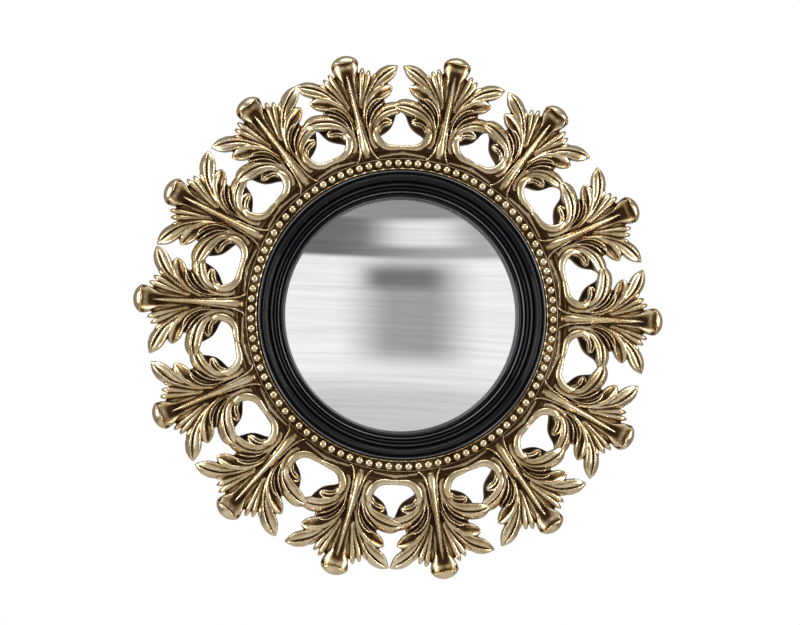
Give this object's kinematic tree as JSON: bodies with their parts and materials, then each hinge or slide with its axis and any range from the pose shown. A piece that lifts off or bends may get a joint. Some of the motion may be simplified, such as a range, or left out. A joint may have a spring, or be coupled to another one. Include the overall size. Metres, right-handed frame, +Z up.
{
  "type": "convex mirror",
  "caption": "Round convex wall mirror: domed glass in a black reeded slip, a beaded border and an openwork ring of gilt acanthus leaves, with a hanging loop on the back.",
  "frame": {"origin": "centre of the mirror in the plane of the wall that it hangs against", "axes": "+Z up, +X to the right as the front is seen, +Y into the wall; the front faces -Y"},
  "size_m": [0.4619, 0.0345, 0.4534],
  "materials": {
    "gilding": "antiqued champagne gilding over cast resin, burnished on the ridges, brown in the hollows",
    "ebonised_wood": "glossy black lacquer on turned wood",
    "painted_wood": "matt black paint on the wooden ring",
    "mirror_glass": "silvered convex glass",
    "packing_foam": "grey foam ring",
    "fibreboard": "brown hardboard, smooth face outward",
    "brass_fittings": "bright stamped brass",
    "zinced_steel": "zinc-plated steel"
  },
  "bodies": {
    "mirror": {"frame_ring": "painted_wood", "reeded_slip": "ebonised_wood", "bead_course": "gilding", "convex_glass": "mirror_glass", "packing_ring": "packing_foam", "backing_board": "fibreboard", "hanger_plate": "zinced_steel", "back_screws": "brass_fittings", "leaf_01": "gilding", "leaf_02": "gilding", "leaf_03": "gilding", "leaf_04": "gilding", "leaf_05": "gilding", "leaf_06": "gilding", "leaf_07": "gilding", "leaf_08": "gilding", "leaf_09": "gilding", "leaf_10": "gilding", "leaf_11": "gilding", "leaf_12": "gilding", "leaf_13": "gilding", "leaf_14": "gilding"},
    "turn_button_1": {"turn_button_1": "brass_fittings"},
    "turn_button_2": {"turn_button_2": "brass_fittings"},
    "turn_button_3": {"turn_button_3": "brass_fittings"},
    "turn_button_4": {"turn_button_4": "brass_fittings"},
    "hanging_loop": {"hanging_loop": "zinced_steel"}
  },
  "joints": [
    {"name": "turn_button_1_pivot", "type": "hinge", "parent": "mirror", "child": "turn_button_1", "pos_m": [0.08415, -0.00325, 0.08415], "axis": [0, 1, 0], "range_deg": [-90, 90]},
    {"name": "turn_button_2_pivot", "type": "hinge", "parent": "mirror", "child": "turn_button_2", "pos_m": [0.08415, -0.00325, -0.08415], "axis": [0, 1, 0], "range_deg": [-90, 90]},
    {"name": "turn_button_3_pivot", "type": "hinge", "parent": "mirror", "child": "turn_button_3", "pos_m": [-0.08415, -0.00325, -0.08415], "axis": [0, 1, 0], "range_deg": [-90, 90]},
    {"name": "turn_button_4_pivot", "type": "hinge", "parent": "mirror", "child": "turn_button_4", "pos_m": [-0.08415, -0.00325, 0.08415], "axis": [0, 1, 0], "range_deg": [-90, 90]},
    {"name": "loop_swing", "type": "hinge", "parent": "mirror", "child": "hanging_loop", "pos_m": [0, -0.002, 0.12513], "axis": [1, 0, 0], "range_deg": [0, 180]}
  ]
}
